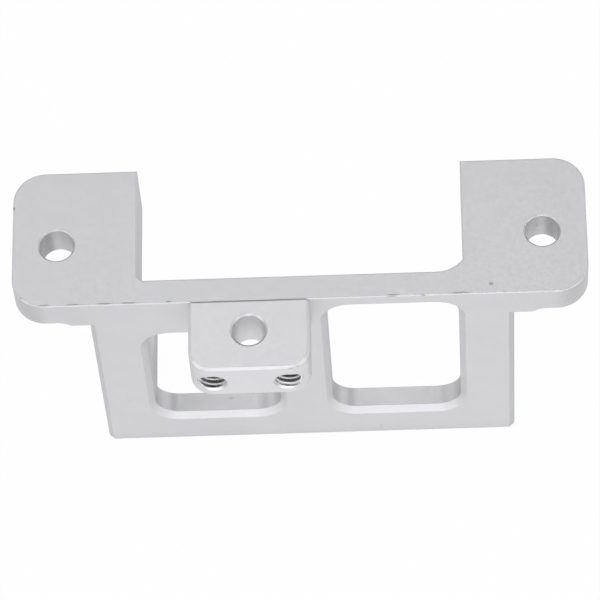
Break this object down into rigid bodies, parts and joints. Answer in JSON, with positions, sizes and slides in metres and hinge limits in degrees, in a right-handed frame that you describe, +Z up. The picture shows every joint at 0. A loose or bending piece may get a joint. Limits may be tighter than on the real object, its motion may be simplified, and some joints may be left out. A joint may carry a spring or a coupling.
{
  "type": "servo bracket",
  "caption": "Machined aluminium bracket for a servo: a winged top plate on a windowed wall, legs behind it and a small drilled block screwed to its front.",
  "frame": {"origin": "on the plate's top face, halfway between the two wing holes", "axes": "+X along the plate, +Y from the front wall to the open back, +Z up out of the top face"},
  "size_m": [0.075, 0.03, 0.0388],
  "materials": {
    "bracket_aluminium": "fine matte bead-blasted",
    "block_aluminium": "fine matte bead-blasted",
    "screw_steel": "plain stainless"
  },
  "bodies": {
    "root": {"bracket": "bracket_aluminium", "mounting_block": "block_aluminium", "block_screw_left": "screw_steel", "block_screw_right": "screw_steel"}
  },
  "joints": []
}
